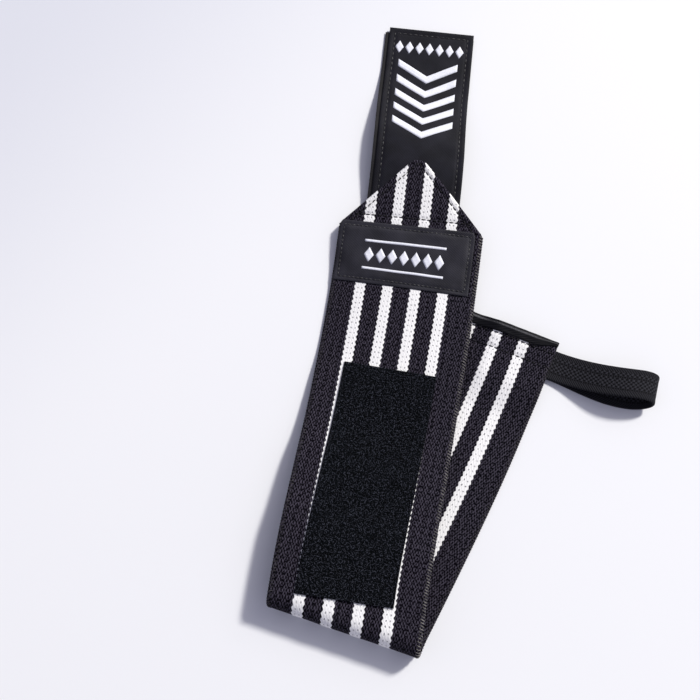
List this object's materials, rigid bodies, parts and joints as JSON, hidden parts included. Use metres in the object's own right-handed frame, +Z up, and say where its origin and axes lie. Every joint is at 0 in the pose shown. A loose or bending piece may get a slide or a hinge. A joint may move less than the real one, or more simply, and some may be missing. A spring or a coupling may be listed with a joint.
{
  "type": "wrist wrap",
  "caption": "Elastic wrist wrap laid out and folded over once, with a hook tab, a loop patch, a satin label and a thumb loop.",
  "frame": {"origin": "middle of the footprint, on the table that the wrap lies on", "axes": "+Y points along the closing tab, +X points to the thumb loop's side, +Z is up"},
  "size_m": [0.1994, 0.338, 0.0203],
  "materials": {
    "elastic_knit": "dense elastic knit, black with white stripes",
    "satin": "smooth woven satin",
    "loop_pile": "fuzzy loop pile",
    "hook_tape": "woven tape with a field of small hooks",
    "binding_tape": "glossy woven tape",
    "loop_elastic": "narrow ribbed elastic"
  },
  "bodies": {
    "root": {"elastic_band": "elastic_knit", "label_patch": "satin", "loop_patch": "loop_pile", "tab_face": "satin", "tab_hook": "hook_tape", "end_binding": "binding_tape", "thumb_loop": "loop_elastic"}
  },
  "joints": []
}
